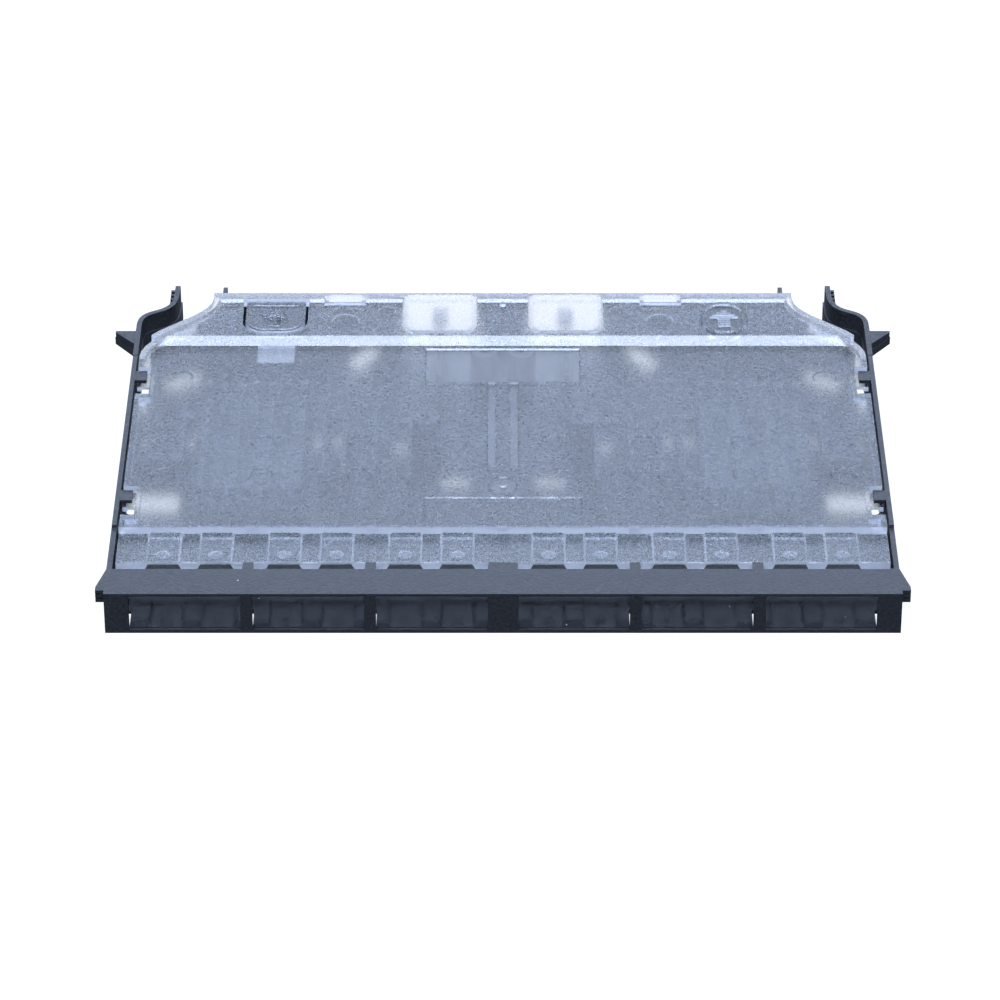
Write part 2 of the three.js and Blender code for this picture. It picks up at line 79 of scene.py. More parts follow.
# %% Studio
def add_light(name, place, size, watts, colour):
    """A rectangular soft box that points at the object."""
    data = bpy.data.lights.new(name, "AREA")
    data.shape = "RECTANGLE"
    data.size, data.size_y = size
    data.energy = watts
    data.color = colour
    light = bpy.data.objects.new(name, data)
    light.location = place
    light.rotation_euler = (-Vector(place)).to_track_quat("-Z", "Y").to_euler()
    bpy.context.scene.collection.objects.link(light)


COOL = (0.63, 0.75, 1.0)
ROOM_STRENGTH = 0.27  # the even light from all round
add_light("back_box", (0, 1.7, 1.1), (2.6, 1.1), 23, COOL)
add_light("top_box", (0, -0.46, 1.22), (0.85, 0.8), 38, COOL)

world = bpy.data.worlds.new("studio")
bpy.context.scene.world = world
world.use_nodes = True
world.node_tree.nodes["Background"].inputs["Color"].default_value = (*COOL, 1)
world.node_tree.nodes["Background"].inputs["Strength"].default_value = ROOM_STRENGTH
bpy.context.scene.view_settings.view_transform = "Standard"
print("studio:", [light.name for light in bpy.data.lights])

# %% [markdown]
# ## Light table
# The object lies on a light table. If the table lit the object as strongly as it glows to the eye, its light
# would fill the windows and wash out the black plastic. So it has three glows: what the camera sees directly
# is white, what shows through the frosted cover is a little dimmer, and every other ray meets a weak glow.

# %% Light table
FLOOR_GAP = 0.2 * MM
floor_mesh = bmesh.new()
bmesh.ops.create_grid(floor_mesh, x_segments=1, y_segments=1, size=3.0)
floor_data = bpy.data.meshes.new("floor")
floor_mesh.to_mesh(floor_data)
floor_mesh.free()
floor = bpy.data.objects.new("floor", floor_data)
floor.location.z = -FLOOR_GAP
bpy.context.scene.collection.objects.link(floor)

light_table = bpy.data.materials.new("light_table")
light_table.use_nodes = True
nodes, links = light_table.node_tree.nodes, light_table.node_tree.links
nodes.clear()
path = nodes.new("ShaderNodeLightPath")


def glow(colour, strength):
    """An even light of one colour."""
    node = nodes.new("ShaderNodeEmission")
    node.inputs["Color"].default_value = (*colour, 1)
    node.inputs["Strength"].default_value = strength
    return node.outputs[0]


def choose_glow(ray, other, chosen):
    """The glow chosen for one kind of ray, and the other for the rest."""
    node = nodes.new("ShaderNodeMixShader")
    links.new(path.outputs[ray], node.inputs["Fac"])
    links.new(other, node.inputs[1])
    links.new(chosen, node.inputs[2])
    return node.outputs[0]


weak = glow(COOL, 0.2)
through = choose_glow("Is Transmission Ray", weak, glow((0.9, 0.93, 0.99), 0.86))
seen = choose_glow("Is Camera Ray", through, glow((0.92, 0.96, 1), 1.15))
links.new(seen, nodes.new("ShaderNodeOutputMaterial").inputs["Surface"])
floor.data.materials.append(light_table)
print("light table:", len(light_table.node_tree.nodes), "nodes")

# %% [markdown]
# ## Shared effects
# Moulded plastic is never quite even. The mould's spark-eroded skin leaves a fine grain, handling rubs the
# edges, and a thin film with a few specks of dust settles on whatever faces up. They could be painted on as
# images, but noise on Object coordinates needs no unwrapping and stays sharp at any distance. Every plastic
# here uses all three effects, so each is a node group that is built once.

# %% Node helpers
def new_group(name, inputs, outputs):
    """An empty shader group with float inputs and outputs, as (tree, its input node, its output node)."""
    group = bpy.data.node_groups.new(name, "ShaderNodeTree")
    for label, default in inputs.items():
        socket = group.interface.new_socket(label, in_out="INPUT", socket_type="NodeSocketFloat")
        socket.default_value = default
    for label in outputs:
        group.interface.new_socket(label, in_out="OUTPUT", socket_type="NodeSocketFloat")
    return group, group.nodes.new("NodeGroupInput"), group.nodes.new("NodeGroupOutput")


def noise(tree, scale, detail):
    """A noise pattern on Object coordinates; scale is a number, or a socket that gives one."""
    place = tree.nodes.new("ShaderNodeTexCoord")
    node = tree.nodes.new("ShaderNodeTexNoise")
    node.inputs["Detail"].default_value = detail
    tree.links.new(place.outputs["Object"], node.inputs["Vector"])
    if isinstance(scale, float):
        node.inputs["Scale"].default_value = scale
    else:
        tree.links.new(scale, node.inputs["Scale"])
    return node.outputs["Fac"]


def map_range(tree, source, low, high, from_low=0.3, from_high=0.7):
    """A pattern between from_low and from_high turned into the values low to high."""
    node = tree.nodes.new("ShaderNodeMapRange")
    node.inputs["From Min"].default_value = from_low
    node.inputs["From Max"].default_value = from_high
    node.inputs["To Min"].default_value = low
    node.inputs["To Max"].default_value = high
    tree.links.new(source, node.inputs["Value"])
    return node.outputs["Result"]


def compute(tree, operation, first, second):
    """A Math node on two patterns, or on a pattern and a number."""
    node = tree.nodes.new("ShaderNodeMath")
    node.operation = operation
    tree.links.new(first, node.inputs[0])
    if isinstance(second, float):
        node.inputs[1].default_value = second
    else:
        tree.links.new(second, node.inputs[1])
    return node.outputs["Value"]


print("node helpers:", [helper.__name__ for helper in (new_group, noise, map_range, compute)])

# %% Grain
def grain_group():
    """Height of a spark-eroded skin, and the broad patches that any moulding has."""
    group, given, result = new_group("spark_grain", {"Grains": 2500.0, "Patches": 60.0}, ("Height", "Patch"))
    group.links.new(noise(group, given.outputs["Grains"], 2.0), result.inputs["Height"])
    group.links.new(noise(group, given.outputs["Patches"], 3.0), result.inputs["Patch"])
    return group


GRAIN = grain_group()
print("grain:", len(GRAIN.nodes), "nodes")

# %% Edge wear
EDGE_MARK = "rounded_edge"  # a face attribute: 1 on the faces that round an edge, and 0 elsewhere


def wear_group():
    """A mask on the rounded edges, broken up so that an edge is rubbed in some places only."""
    group, given, result = new_group("edge_wear", {"Amount": 1.0}, ("Mask",))
    rounded_edge = group.nodes.new("ShaderNodeAttribute")
    rounded_edge.attribute_name = EDGE_MARK
    broken = map_range(group, noise(group, 220.0, 4.0), 0, 1, from_low=0.42, from_high=0.62)
    mask = compute(group, "MULTIPLY", rounded_edge.outputs["Fac"], broken)
    group.links.new(compute(group, "MULTIPLY", mask, given.outputs["Amount"]), result.inputs["Mask"])
    return group


WEAR = wear_group()
print("edge wear:", len(WEAR.nodes), "nodes")

# %% Dust
def dust_group():
    """A thin film on faces that look up, and a few specks."""
    group, given, result = new_group("dust", {"Amount": 1.0}, ("Film", "Specks"))
    geometry = group.nodes.new("ShaderNodeNewGeometry")
    split = group.nodes.new("ShaderNodeSeparateXYZ")
    group.links.new(geometry.outputs["Normal"], split.inputs["Vector"])
    upward = map_range(group, split.outputs["Z"], 0, 1, from_low=0.3, from_high=0.95)
    patches = map_range(group, noise(group, 35.0, 5.0), 0, 1, from_low=0.4, from_high=0.7)
    film = compute(group, "MULTIPLY", upward, patches)
    group.links.new(compute(group, "MULTIPLY", film, given.outputs["Amount"]), result.inputs["Film"])
    cells = group.nodes.new("ShaderNodeTexVoronoi")
    cells.inputs["Scale"].default_value = 260.0
    place = group.nodes.new("ShaderNodeTexCoord")
    group.links.new(place.outputs["Object"], cells.inputs["Vector"])
    small = map_range(group, cells.outputs["Distance"], 1, 0, from_low=0.03, from_high=0.07)
    chosen = map_range(group, cells.outputs["Color"], 0, 1, from_low=0.78, from_high=0.8)
    specks = compute(group, "MULTIPLY", small, chosen)
    group.links.new(compute(group, "MULTIPLY", specks, given.outputs["Amount"]), result.inputs["Specks"])
    return group


DUST = dust_group()
print("dust:", len(DUST.nodes), "nodes")

# %% [markdown]
# ## Plastics
# The tray is black ABS with a fine grain. Its colour hardly varies; what the eye reads as matt plastic is the
# grain's broken reflection. The cover is polycarbonate with a frosted top: light goes through it but
# scatters, so what lies against it is sharp and what lies deeper is a blur. A mix of a clear and a white
# shader could look frosted too, but transmission with a rough skin blurs as the real sheet does. The strip
# and the plateau come from rougher parts of the mould, which sparkle.

# %% Material helpers
PATCHES = 45.0  # scale of the broad patches
GRAIN_SHARE, PATCH_SHARE = 0.88, 0.12  # how far the grain and the patches move a colour along its range
RUBBED = 2.2  # a rubbed edge is this much lighter
FILM_COLOUR, FILM_SHARE, FILM_ROUGHENS = (0.3, 0.31, 0.33), 0.004, 0.01
SPECK_COLOUR = (0.5, 0.5, 0.5)
WEAR_SMOOTHS = 0.06  # a rubbed edge is this much less rough


def use_group(tree, group, values):
    """The outputs of a shared group, placed in a material with its own values."""
    node = tree.nodes.new("ShaderNodeGroup")
    node.node_tree = group
    for label, value in values.items():
        node.inputs[label].default_value = value
    return node.outputs


def blend(tree, mask, below, above):
    """A colour mixed over another by a mask; below and above are colours, or below is a colour socket."""
    node = tree.nodes.new("ShaderNodeMix")
    node.data_type = "RGBA"
    if isinstance(below, tuple):
        node.inputs["A"].default_value = (*below, 1)
    else:
        tree.links.new(below, node.inputs["A"])
    node.inputs["B"].default_value = (*above, 1)
    tree.links.new(mask, node.inputs["Factor"])
    return node.outputs["Result"]


def new_plastic(name, dark, light, roughness, grains, depth, worn, dusty):
    """A material with the shared effects on its colour, roughness and bump, and its Principled BSDF.

    dark and light are the ends of its colour's range, roughness those of its roughness; worn and dusty say
    how much its edges are rubbed and how much dust lies on it."""
    material = bpy.data.materials.new(name)
    material.use_nodes = True
    tree = material.node_tree
    shader = tree.nodes["Principled BSDF"]
    grain = use_group(tree, GRAIN, {"Grains": grains, "Patches": PATCHES})
    wear = use_group(tree, WEAR, {"Amount": worn})
    dust = use_group(tree, DUST, {"Amount": dusty})
    fine = map_range(tree, grain["Height"], 0, GRAIN_SHARE)
    shade = compute(tree, "ADD", fine, map_range(tree, grain["Patch"], 0, PATCH_SHARE))
    colour = blend(tree, shade, dark, light)
    rubbed = tuple(min(1.0, RUBBED * value) for value in light)
    colour = blend(tree, wear["Mask"], colour, rubbed)
    colour = blend(tree, compute(tree, "MULTIPLY", dust["Film"], FILM_SHARE), colour, FILM_COLOUR)
    colour = blend(tree, dust["Specks"], colour, SPECK_COLOUR)
    tree.links.new(colour, shader.inputs["Base Color"])
    rough = map_range(tree, grain["Height"], roughness[0], roughness[1])
    rough = compute(tree, "ADD", rough, compute(tree, "MULTIPLY", dust["Film"], FILM_ROUGHENS))
    rough = compute(tree, "SUBTRACT", rough, compute(tree, "MULTIPLY", wear["Mask"], WEAR_SMOOTHS))
    tree.links.new(rough, shader.inputs["Roughness"])
    skin = tree.nodes.new("ShaderNodeBump")
    skin.inputs["Distance"].default_value = depth
    tree.links.new(grain["Height"], skin.inputs["Height"])
    tree.links.new(skin.outputs["Normal"], shader.inputs["Normal"])
    return material, shader


print("every plastic uses:", [group.name for group in (GRAIN, WEAR, DUST)])

# %% Black and grey plastic
def opaque(name, dark, light, roughness, grains, depth, shine):
    """ABS, which lets no light through."""
    material, shader = new_plastic(name, dark, light, roughness, grains, depth, worn=1.0, dusty=1.0)
    shader.inputs["Specular IOR Level"].default_value = shine
    return material


TRAY_FINISH = {
    "grained": opaque("black_abs", (0.008, 0.009, 0.011), (0.022, 0.023, 0.026),
                      roughness=(0.3, 0.56), grains=1400.0, depth=0.00018, shine=0.8),
    "floor": opaque("black_abs_floor", (0.007, 0.008, 0.01), (0.01, 0.011, 0.013),
                    roughness=(0.13, 0.17), grains=2600.0, depth=0.000003, shine=0.2),
}
HOLDER_FINISH = {
    "grained": opaque("dark_grey_abs", (0.055, 0.058, 0.066), (0.07, 0.074, 0.083),
                      roughness=(0.3, 0.45), grains=3200.0, depth=0.00001, shine=0.5),
}
print("opaque finishes:", [*TRAY_FINISH, *HOLDER_FINISH])

# %% Frosted plastic
DIMMED = 0.94  # the darker end of a frosted tint, as a share of it
SHEET_IOR = 1.47


def frosted(name, tint, roughness, grains, depth, clear, shine=0.5):
    """Polycarbonate with a frosted skin; clear is the share of light that goes through."""
    dim = tuple(value * DIMMED for value in tint)
    material, shader = new_plastic(name, dim, tint, roughness, grains, depth, worn=0.3, dusty=0.15)
    shader.inputs["Transmission Weight"].default_value = clear
    shader.inputs["IOR"].default_value = SHEET_IOR
    shader.inputs["Specular IOR Level"].default_value = shine
    return material


COVER_FINISH = {
    "panel": frosted("frosted_panel", (0.76, 0.79, 0.82), roughness=(0.26, 0.28),
                     grains=900.0, depth=0.000003, clear=0.99, shine=0.2),
    "sparkling": frosted("frosted_sparkle", (0.93, 0.96, 1.0), roughness=(0.18, 0.36),
                         grains=1700.0, depth=0.00016, clear=0.975),
    # a rougher skin on the rim and its slopes, partly painted light: its whiter, less clear tint makes them
    # bright
    "satin_painted_light": frosted("satin_ridge_painted_light", (0.98, 0.94, 0.9), roughness=(0.25, 0.35),
                     grains=2200.0, depth=0.000004, clear=0.86),
    # painted glow: upright faces get a whiter, less clear copy of the sheet, for the light that its edges let
    # out
    "edge": frosted("frosted_sheet_edge_painted_glow", (0.93, 0.95, 1.0), roughness=(0.3, 0.4),
                    grains=2200.0, depth=0.000001, clear=0.4),
    "inside": frosted("frosted_sheet_inside", (0.95, 0.97, 1.0), roughness=(0.13, 0.17),
                      grains=2200.0, depth=0.000002, clear=0.985, shine=0.25),
    "polished": frosted("polished_polycarbonate", (0.97, 0.98, 1.0), roughness=(0.02, 0.05),
                        grains=2200.0, depth=0.000001, clear=0.95),
    # painted light: a whiter, less clear copy for the bump sides, the sunk pocket and the arrows' front faces
    "rib_painted_light": frosted("frosted_rib_side_painted_light", (0.93, 0.95, 1.0), roughness=(0.25, 0.35),
                   grains=2200.0, depth=0.000001, clear=0.82),
}
print("frosted finishes:", [*COVER_FINISH])

# %% [markdown]
# ## Helpers for small solids
# The details of a mould are simple solids that are added to a plate or cut out of it. Each could be drawn
# into the plate's own mesh, but a Boolean keeps the two apart, so that a detail can change without the plate.
# Each solid runs through two or more outlines of as many corners, and a ring of faces joins one to the next.

# %% Outlines
def at(x, y, z):
    """A point in millimetres from the middle, from the fascia's face and from the floor, in the scene."""
    return Vector((x * MM, FRONT + y * MM, z * MM))


def rectangle(x0, x1, y0, y1, grow=0.0):
    """A rectangle's corners, counter-clockwise; grow moves its sides out."""
    return [(x0 - grow, y0 - grow), (x1 + grow, y0 - grow), (x1 + grow, y1 + grow), (x0 - grow, y1 + grow)]


def circle(x, y, across, grow=0.0, sides=40):
    """Points on a circle, counter-clockwise."""
    turns = [2 * math.pi * i / sides for i in range(sides)]
    return [(x + (across / 2 + grow) * math.cos(a), y + (across / 2 + grow) * math.sin(a)) for a in turns]


def rounded(x0, x1, y0, y1, radius, grow=0.0, steps=8):
    """A rectangle's outline with round corners, counter-clockwise."""
    outline = []
    for cx, cy, start in ((x1 - radius, y0 + radius, -90), (x1 - radius, y1 - radius, 0),
                          (x0 + radius, y1 - radius, 90), (x0 + radius, y0 + radius, 180)):
        for i in range(steps + 1):
            a = math.radians(start + 90 * i / steps)
            outline.append((cx + (radius + grow) * math.cos(a), cy + (radius + grow) * math.sin(a)))
    return outline


print("a circle has", len(circle(0, 0, 1)), "points and a rounded rectangle", len(rounded(0, 4, 0, 4, 1)))

# %% Solids
def loft(bm, sections):
    """A closed solid through sections, each a list of the same number of (x, y, z) points."""
    rings = [[bm.verts.new(at(*p)) for p in section] for section in sections]
    bm.faces.new(rings[0][::-1])
    bm.faces.new(rings[-1])
    for first, second in zip(rings, rings[1:]):
        for i in range(len(first)):
            j = (i + 1) % len(first)
            bm.faces.new((first[i], first[j], second[j], second[i]))


def frustum(bm, lower_outline, upper_outline, low, high):
    """A closed solid between two outlines of as many points, each a counter-clockwise list of (x, y)."""
    ends = ((lower_outline, low), (upper_outline, high))
    loft(bm, [[(x, y, z) for x, y in outline] for outline, z in ends])


def block(bm, x0, x1, y0, y1, low, high):
    """A box between two heights."""
    frustum(bm, rectangle(x0, x1, y0, y1), rectangle(x0, x1, y0, y1), low, high)


sample = bmesh.new()
loft(sample, [[(x, y, z) for x, y in rectangle(0, 1, 0, 1)] for z in (0, 1, 2)])
print("a loft through three squares has", len(sample.verts), "corners and", len(sample.faces), "faces,",
      "closed:", all(edge.is_manifold for edge in sample.edges))
sample.free()

# %% Boolean
def combine(data, tool, operation):
    """The mesh data with the bmesh tool added or cut away, as a new mesh."""
    bmesh.ops.recalc_face_normals(tool, faces=tool.faces)
    tool_data = bpy.data.meshes.new("tool")
    tool.to_mesh(tool_data)
    tool.free()
    body = bpy.data.objects.new("work", data)
    other = bpy.data.objects.new("tool", tool_data)
    for item in (body, other):
        bpy.context.scene.collection.objects.link(item)
    modifier = body.modifiers.new("combine", "BOOLEAN")
    modifier.operation = operation
    modifier.solver = "MANIFOLD"
    modifier.object = other
    result = bpy.data.meshes.new_from_object(body.evaluated_get(bpy.context.evaluated_depsgraph_get()))
    bpy.data.objects.remove(body)
    bpy.data.objects.remove(other)
    return result


print("solids are joined and cut with the manifold solver")

# %% [markdown]
# ## Mouldings
# Each CAD node already has the right shape, but its edges are perfectly sharp. A mould can't make a sharp
# edge, and it is the small round on an edge that catches the light. A Bevel modifier could round them, but it
# leaves no mark on the faces that it makes, and the edge wear needs that mark. So each piece is a merged copy
# of its CAD node, with flat faces joined and its sharp edges bevelled by an operator.

# %% Merged copies
SAME_POINT = 0.001 * MM  # corners of the node's loose triangles that are closer than this are one corner
WELD = 0.08 * MM  # an edge shorter than this is closed, because it is too short to be rounded
THIN = 0.01 * MM
SAME_PLANE = math.radians(3)


def tidy(bm):
    """Joins points that are almost in one place, and joins the faces that lie in one plane."""
    bmesh.ops.remove_doubles(bm, verts=bm.verts, dist=WELD)
    bmesh.ops.dissolve_degenerate(bm, dist=THIN, edges=bm.edges)
    bmesh.ops.dissolve_limit(bm, angle_limit=SAME_PLANE, verts=bm.verts, edges=bm.edges)


def copy_of(node):
    """The CAD node's mesh, merged and tidied."""
    bm = bmesh.new()
    bm.from_mesh(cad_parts[node].data)
    bmesh.ops.remove_doubles(bm, verts=bm.verts, dist=SAME_POINT)
    tidy(bm)
    bmesh.ops.triangulate(bm, faces=[f for f in bm.faces if len(f.verts) > 4])
    data = bpy.data.meshes.new(node)
    bm.to_mesh(data)
    bm.free()
    return data


tray_data = copy_of("tray")
print("the tray's merged copy:", len(tray_data.polygons), "faces")

# %% Rounded pieces
SHARP = math.radians(16)  # an edge that bends more than this is rounded
CREASE = math.radians(35)  # and one that still bends more than this is shaded sharp
FLAT_WEIGHT = 100  # large faces rule the shading next to them


def moulding(data, node, name, finishes, body, edge, choose=None):
    """A piece from a mesh, its sharp edges rounded, riding on its body in the node's place.

    finishes holds its materials by name, and choose gives each face the name of its own."""
    bm = bmesh.new()
    bm.from_mesh(data)
    tidy(bm)
    mark = bm.faces.layers.float.new(EDGE_MARK)
    sharp = [e for e in bm.edges if e.is_manifold and e.calc_face_angle(0) > SHARP]
    rounding = bmesh.ops.bevel(
        bm, geom=sharp, offset=edge, offset_type="OFFSET", segments=2, profile=0.5,
        affect="EDGES", clamp_overlap=True, material=-1,
    )
    for face in rounding["faces"]:
        face[mark] = 1.0
    data = bpy.data.meshes.new(name)
    bm.to_mesh(data)
    bm.free()
    for material in finishes.values():
        data.materials.append(material)
    names = list(finishes)
    for polygon in data.polygons:
        polygon.use_smooth = True
        if choose:
            polygon.material_index = names.index(choose(polygon))
    data.set_sharp_from_angle(angle=CREASE)
    piece = bpy.data.objects.new(name, data)
    bpy.context.scene.collection.objects.link(piece)
    weighted = piece.modifiers.new("flat_faces", "WEIGHTED_NORMAL")
    weighted.keep_sharp = True
    weighted.weight = FLAT_WEIGHT
    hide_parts(node)
    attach(piece, body)
    print(name, len(data.polygons), "faces")


FLOOR_TOP = 1.2 * MM  # the tray's floor lies below this
LEVEL = 0.9  # a face whose normal rises more than this lies level


def tray_face(polygon):
    """The tray's floor is smoother than the rest of it, because its side of the mould is polished."""
    return "floor" if polygon.normal.z > LEVEL and polygon.center.z < FLOOR_TOP else "grained"


TRAY_EDGE, ARM_EDGE, COVER_EDGE = 0.12 * MM, 0.15 * MM, 0.1 * MM  # width of the rounded edges
moulding(tray_data, "tray", "tray_moulding", TRAY_FINISH, "tray", TRAY_EDGE, tray_face)
for side in ("left", "right"):
    holder, arm = "splice_holder_" + side, "latch_arm_" + side
    moulding(copy_of(holder), holder, side + "_holder", HOLDER_FINISH, "tray", TRAY_EDGE)
    moulding(copy_of(arm), arm, side + "_arm", TRAY_FINISH, arm, ARM_EDGE)

# %% [markdown]
# ## The cover's rim
# A thin sheet bends, so the cover's rear edge and its two S-shaped corners are stiffened by a rim that stands
# almost as high as the cable humps. Its inner side slopes, and that slope, with a whiter finish that adds
# painted light, is the bright line along the rear.
# The CAD node has the rim with an upright side, so only the slope is added, as a solid with its root in the
# sheet: a long prism along the rear, and a loft along each S-curve.

# %% Levels of the cover
HUMP_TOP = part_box("cover")[1][2] / MM
RIM_TOP = HUMP_TOP - 0.05
PLATEAU_TOP = HUMP_TOP - 0.8
PANEL_TOP = PLATEAU_TOP - 1.8
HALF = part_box("cover")[1][0] / MM
RIM_WIDTH, RIM_FRONT = 1.5, 130.4
SLOPE_RUN = 0.7
BEDDED = 0.6  # depth of a detail's root in the sheet
ROOT = PLATEAU_TOP - BEDDED
OVERLAP = 0.1  # how far a slope reaches into the rim, so that the two join
print("levels in mm: rim", RIM_TOP, "plateau", PLATEAU_TOP, "panel", PANEL_TOP)

# %% Slope inside the rim
S_CURVE_SHARE = 0.78  # the slope follows this share of an S-curve, from its rear end


def corner_line(inset, last, steps=14):
    """Points of the S-curve, moved in by inset, from the rear end to the share last of its length."""
    ends = ((74 - inset, 131), (74 - inset, 120 - 0.7 * inset),
            (HALF - inset, 117 - 0.9 * inset), (HALF - inset, 104))
    points = []
    for i in range(steps + 1):
        t = last * i / steps
        weights = ((1 - t) ** 3, 3 * t * (1 - t) ** 2, 3 * t * t * (1 - t), t ** 3)
        points.append(tuple(sum(w * p[k] for w, p in zip(weights, ends)) for k in (0, 1)))
    return points


def corner_slope(side):
    """The slope inside the rim along one S-curve."""
    bm = bmesh.new()
    head = corner_line(RIM_WIDTH - OVERLAP, S_CURVE_SHARE)
    foot = corner_line(RIM_WIDTH + SLOPE_RUN, S_CURVE_SHARE)
    sections = []
    for (x0, y0), (x1, y1) in zip(head, foot):
        section = [(x0, y0, RIM_TOP - OVERLAP), (x1, y1, PLATEAU_TOP), (x1, y1, ROOT), (x0, y0, ROOT)]
        sections.append([(side * x, y, z) for x, y, z in section])
    loft(bm, sections)
    return bm


def rear_slopes():
    """The slope inside the rim along the rear edge, left open where the latch tab grows out of the rim."""
    bm = bmesh.new()
    head, foot = RIM_FRONT + OVERLAP, RIM_FRONT - SLOPE_RUN
    side_view = [(head, RIM_TOP - OVERLAP), (foot, PLATEAU_TOP), (foot, ROOT), (head, ROOT)]
    for x0, x1 in ((-72.4, -66.4), (-49.5, 72.4)):
        loft(bm, [[(x, y, z) for y, z in side_view] for x in (x0, x1)])
    return bm


cover_data = copy_of("cover")
for slope in (corner_slope(-1), corner_slope(1), rear_slopes()):
    cover_data = combine(cover_data, slope, "UNION")
print("cover with its slopes:", len(cover_data.polygons), "faces")

# %% [markdown]
# ## Marks and pockets of the cover
# An injection mould leaves round marks where its pins push the part out, and every pocket has sloping sides
# so that the part lets go of the mould. A bump texture could fake the marks, but they have a real edge that
# glints, so they are cut as shallow pits whose sides slope too.

# %% Ejector marks and insert line
MARK_ROWS = {95.7: (16.2, 31.8, 66.8, 80.6), 64.9: (11.6, 34.6, 58.8, 82.7), 50.1: (11.4, 34.9, 58.7, 82.4)}
MARK_ACROSS, MARK_DEPTH = 5.4, 0.24
SLIGHT = 0.08  # depth of the fainter marks
INSERT_LINE = (100.9, 101.2)  # where two inserts of the mould meet
STRIP_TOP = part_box("tray")[1][2] / MM - 1.8
BUMP_CENTRES = (17.0, 45.6, 74.2)
PLATEAU_MARKS = ((40, 120.5, 6.5, 0.16), (29.5, 125.5, 4.2, 0.1))  # x, y, width and depth of each


def cover_marks():
    """Solids that are cut out of the cover: ejector marks, each a shallow round pit, and the insert line."""
    bm = bmesh.new()
    pits = []
    for side in (-1, 1):
        for y, row in MARK_ROWS.items():
            pits += [(side * x, y, MARK_ACROSS, PANEL_TOP, MARK_DEPTH) for x in row]
        pits += [(side * x, y, across, PLATEAU_TOP, depth) for x, y, across, depth in PLATEAU_MARKS]
        bump_marks = [side * centre + turn * 6.2 for centre in BUMP_CENTRES for turn in (-1, 1)]
        pits += [(x, 17.0, 3.0, STRIP_TOP, SLIGHT) for x in bump_marks]
    for x, y, across, top, depth in pits:
        draft = 1.5 * depth
        frustum(bm, circle(x, y, across), circle(x, y, across, 2 * draft), top - depth, top + depth)
    for x0, x1 in ((-78, -20), (20, 78)):
        block(bm, x0, x1, *INSERT_LINE, PANEL_TOP - SLIGHT, PANEL_TOP + 0.3)
    return bm


cover_data = combine(cover_data, cover_marks(), "DIFFERENCE")
print("cover with its marks:", len(cover_data.polygons), "faces")

# %% Sloping sides of the pockets
POCKET_RISE = 0.3  # the slopes begin this far below the panel's top
GATE = (0, 45.4)  # where the plastic flowed in
POCKETS = (
    (1.85, 3.65, 53.8, 92.8), (-3.65, -1.85, 53.8, 92.8),  # two grooves
    (-19.2, 19.2, 93.8, 109.4), (-18.7, 18.7, 29.3, 39.5),  # the rear pane and the front pane
)


def pocket_sides():
    """Solids that are cut out of the cover: they give the pockets of its top sloping sides."""
    bm = bmesh.new()
    low, high = PANEL_TOP - POCKET_RISE, PANEL_TOP + POCKET_RISE
    for pocket in POCKETS:
        frustum(bm, rectangle(*pocket), rectangle(*pocket, 2 * POCKET_RISE), low, high)
    frustum(bm, circle(*GATE, 6.4), circle(*GATE, 6.4, 2 * POCKET_RISE), low, high)
    return bm


cover_data = combine(cover_data, pocket_sides(), "DIFFERENCE")
print("cover with its pockets:", len(cover_data.polygons), "faces")

# %% [markdown]
# ## Ribs, badge and arrows
# Small tabs on the riser line the cover up with the pillars of the fascia, and the gate leaves a stub where
# the plastic was cut off. The arrows show which way the cover slides. They are made of ribs that stand proud,
# so that a thumb can grip them, and one of them sits in an oval badge with a raised edge.

# %% Tabs, gate stub and stud
PILLARS = (0.0, 31.2, 60.2)
STUD = (0, 128.2)


def cover_ribs():
    """Solids that are added to the cover: small tabs on the riser, the gate's stub and a stud at the rear."""
    bm = bmesh.new()
    for x in sorted({side * x for x in PILLARS for side in (-1, 1)}):
        block(bm, x - 1.2, x + 1.2, 26.2, 28.6, PANEL_TOP - BEDDED, PANEL_TOP + 0.35)
    frustum(bm, circle(*GATE, 1.8), circle(*GATE, 1.4), PANEL_TOP - BEDDED, PANEL_TOP)
    frustum(bm, circle(*STUD, 1.7), circle(*STUD, 1.3), ROOT, RIM_TOP)
    return bm


cover_data = combine(cover_data, cover_ribs(), "UNION")
print("cover with its ribs:", len(cover_data.polygons), "faces")

# %% Arrows
ARROW_PITCH, ARROW_RIB = 1.05, 0.6
ARROW_WIDTHS = (3.2, 3.2, 3.2, 3.2, 7.2, 6.0, 3.8, 1.8)
ARROW_ROOT, ARROW_TOP = PLATEAU_TOP - 0.2, PLATEAU_TOP + 0.55


def arrow_ribs(x, y, low, high):
    """The ribs of an arrow that points to the rear."""
    bm = bmesh.new()
    for n, width in enumerate(ARROW_WIDTHS):
        start = y + ARROW_PITCH * n
        lower = rectangle(x - width / 2, x + width / 2, start, start + ARROW_RIB)
        upper = rectangle(x - width / 2 + 0.1, x + width / 2 - 0.1, start + 0.35, start + ARROW_RIB - 0.05)
        frustum(bm, lower, upper, low, high)
    return bm


def arrow_stem(x, y, low, high):
    """A low bar that joins the arrow's ribs."""
    bm = bmesh.new()
    block(bm, x - 1.45, x + 1.45, y + 0.2, y + ARROW_PITCH * 6.5, low, high)
    return bm


print("an arrow is", round(ARROW_PITCH * (len(ARROW_WIDTHS) - 1) + ARROW_RIB, 2), "mm long")

# %% Oval badge
OVAL = (50.5, 62.2, 114.2, 129.2)
OVAL_RADIUS = 5.4


def oval_edge():
    """The badge's raised edge, still filled."""
    bm = bmesh.new()
    wide, narrow = rounded(*OVAL, OVAL_RADIUS, 0.4), rounded(*OVAL, OVAL_RADIUS, -0.2)
    frustum(bm, wide, narrow, ROOT, PLATEAU_TOP + 0.6)
    return bm


